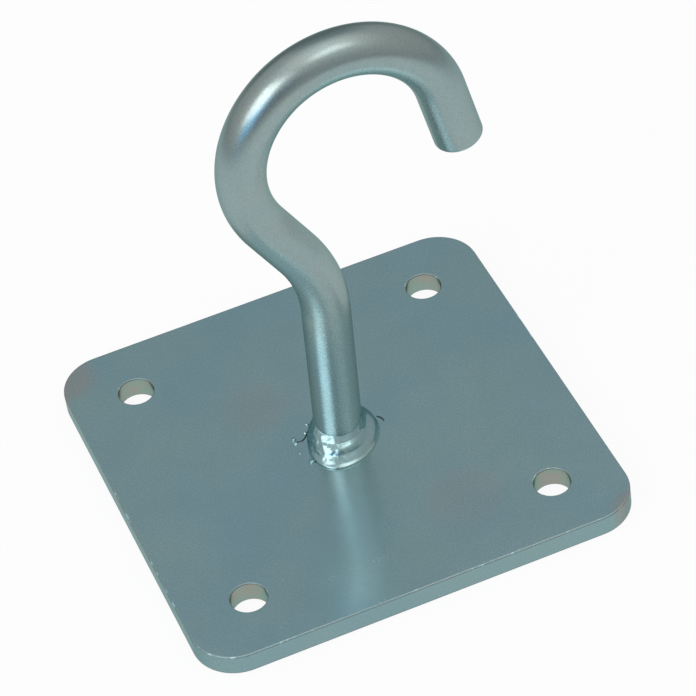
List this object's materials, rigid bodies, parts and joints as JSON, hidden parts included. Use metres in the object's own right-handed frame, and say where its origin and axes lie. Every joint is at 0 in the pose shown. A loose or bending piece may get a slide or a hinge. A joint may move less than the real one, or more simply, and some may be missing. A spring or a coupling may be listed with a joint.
{
  "type": "ceiling hook",
  "caption": "Welded ceiling hook: a round bar bent into an open hook stands on the middle of a square plate with rounded corners and a screw hole near each corner.",
  "frame": {"origin": "centre of the plate's back face, which lies on the ceiling", "axes": "+Z away from the ceiling, along the hook; +X to the side on which the hook is open; the hook lies in the XZ plane"},
  "size_m": [0.1, 0.1, 0.1129],
  "materials": {
    "plated_sheet": "satin blue-passivated zinc plating on rolled sheet",
    "plated_bar": "satin blue-passivated zinc plating on drawn bar",
    "plated_weld": "bright blue-passivated zinc plating on a weld bead"
  },
  "bodies": {
    "root": {"mounting_plate": "plated_sheet", "hook_rod": "plated_bar", "weld_bead": "plated_weld"}
  },
  "joints": []
}
